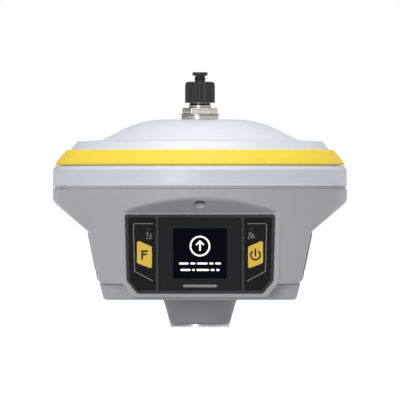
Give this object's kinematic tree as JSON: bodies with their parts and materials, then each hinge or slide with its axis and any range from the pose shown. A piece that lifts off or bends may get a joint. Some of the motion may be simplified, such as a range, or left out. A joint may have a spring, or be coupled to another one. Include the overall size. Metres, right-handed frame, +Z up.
{
  "type": "gnss receiver",
  "caption": "Round domed survey receiver on a threaded pole neck, with a front key and display panel, side battery doors, rear port flap and capped top connector.",
  "frame": {"origin": "centre of the lower face of the metal pole insert, which is the lowest face of the receiver", "axes": "+Z up along the pole and the radio connector, -Y towards the front panel, +X to the right seen from the front"},
  "size_m": [0.152, 0.152, 0.1314],
  "materials": {
    "grey_shell": "fine satin moulded grain",
    "white_shell": "smooth satin radome plastic",
    "yellow_rubber": "satin moulded elastomer",
    "skirt_plastic": "satin moulded",
    "dark_grey_plastic": "satin moulded",
    "black_plastic": "satin moulded",
    "black_rubber": "matt moulded",
    "overlay_film": "fine textured film",
    "screen_glass": "polished dark window",
    "key_rubber": "satin silicone key",
    "clear_lens": "smoked light guide",
    "steel": "machined stainless",
    "connector_metal": "nickel plated",
    "switch_metal": "tinned sheet",
    "antenna_metal": "passivated sheet",
    "brass": "gold plated contacts in a brass shell",
    "circuit_board": "solder mask",
    "ceramic": "fired ceramic with printed faces",
    "battery_case": "moulded pack case",
    "white_insulator": "turned fluoropolymer",
    "cable_jacket": "extruded jacket"
  },
  "bodies": {
    "root": {"lower_housing": "grey_shell", "top_cover": "white_shell", "bumper_ring": "yellow_rubber", "case_seal": "black_rubber", "base_cover": "skirt_plastic", "pole_neck": "dark_grey_plastic", "pole_insert": "steel", "front_bezel": "black_plastic", "panel_gasket": "black_rubber", "display_window": "screen_glass", "key_overlay_left": "overlay_film", "key_overlay_right": "overlay_film", "status_lens_left": "clear_lens", "status_lens_right": "clear_lens", "function_switch": "switch_metal", "power_switch": "switch_metal", "display_module": "black_plastic", "key_board": "circuit_board", "battery_cradle": "black_plastic", "port_plate": "black_plastic", "data_port": "brass", "power_port": "brass", "main_board": "circuit_board", "processor_shield": "switch_metal", "radio_module": "switch_metal", "antenna_ground_plate": "antenna_metal", "antenna_lower_patch": "ceramic", "antenna_upper_patch": "ceramic", "radio_cable": "cable_jacket", "connector_body": "connector_metal", "connector_seat_ring": "connector_metal", "connector_washer": "connector_metal", "connector_nut": "connector_metal", "connector_insulator": "white_insulator", "connector_contact": "brass", "cap_gasket": "black_rubber", "case_screw_front": "steel", "case_screw_rear": "steel", "case_screw_left": "steel", "case_screw_right": "steel", "base_screw_1": "steel", "base_screw_2": "steel", "base_screw_3": "steel", "base_screw_4": "steel", "door_hinge_pin_left": "steel", "door_seal_left": "black_rubber", "battery_left": "battery_case", "door_hinge_pin_right": "steel", "door_seal_right": "black_rubber", "battery_right": "battery_case"},
    "function_key": {"function_button": "key_rubber"},
    "power_key": {"power_button": "key_rubber"},
    "left_door": {"battery_door_left": "grey_shell"},
    "right_door": {"battery_door_right": "grey_shell"},
    "left_latch": {"door_latch_left": "dark_grey_plastic"},
    "right_latch": {"door_latch_right": "dark_grey_plastic"},
    "cap_lift": {"cap_stud": "black_plastic"},
    "cap_shell": {"dust_cap": "black_plastic"},
    "port_flap": {"port_cover": "black_rubber"}
  },
  "joints": [
    {"name": "function_button_press", "type": "slide", "parent": "root", "child": "function_key", "axis": [0, 1, 0], "range_m": [0, 0.0008], "stiffness_N_per_m": 600},
    {"name": "power_button_press", "type": "slide", "parent": "root", "child": "power_key", "axis": [0, 1, 0], "range_m": [0, 0.0008], "stiffness_N_per_m": 600},
    {"name": "left_door_hinge", "type": "hinge", "parent": "root", "child": "left_door", "pos_m": [-0.05056, 0, 0.02524], "axis": [0, -1, 0], "range_deg": [0, 100]},
    {"name": "right_door_hinge", "type": "hinge", "parent": "root", "child": "right_door", "pos_m": [0.05056, 0, 0.02524], "axis": [0, 1, 0], "range_deg": [0, 100]},
    {"name": "left_latch_slide", "type": "slide", "parent": "left_door", "child": "left_latch", "axis": [0.1977, 0, -0.9803], "range_m": [0, 0.003], "stiffness_N_per_m": 200},
    {"name": "right_latch_slide", "type": "slide", "parent": "right_door", "child": "right_latch", "axis": [-0.1977, 0, -0.9803], "range_m": [0, 0.003], "stiffness_N_per_m": 200},
    {"name": "cap_rise", "type": "slide", "parent": "root", "child": "cap_lift", "axis": [0, 0, 1], "range_m": [0, 0.00363]},
    {"name": "cap_turn", "type": "hinge", "parent": "cap_lift", "child": "cap_shell", "pos_m": [0, 0, 0.1156], "axis": [0, 0, 1], "range_deg": [0, 1450]},
    {"name": "port_flap_hinge", "type": "hinge", "parent": "root", "child": "port_flap", "pos_m": [0, 0.0671, 0.0526], "axis": [1, 0, 0], "range_deg": [0, 100]}
  ],
  "couplings": [
    {"joint": "cap_turn", "follows": "cap_rise", "rad_per_m": 6927.4}
  ]
}
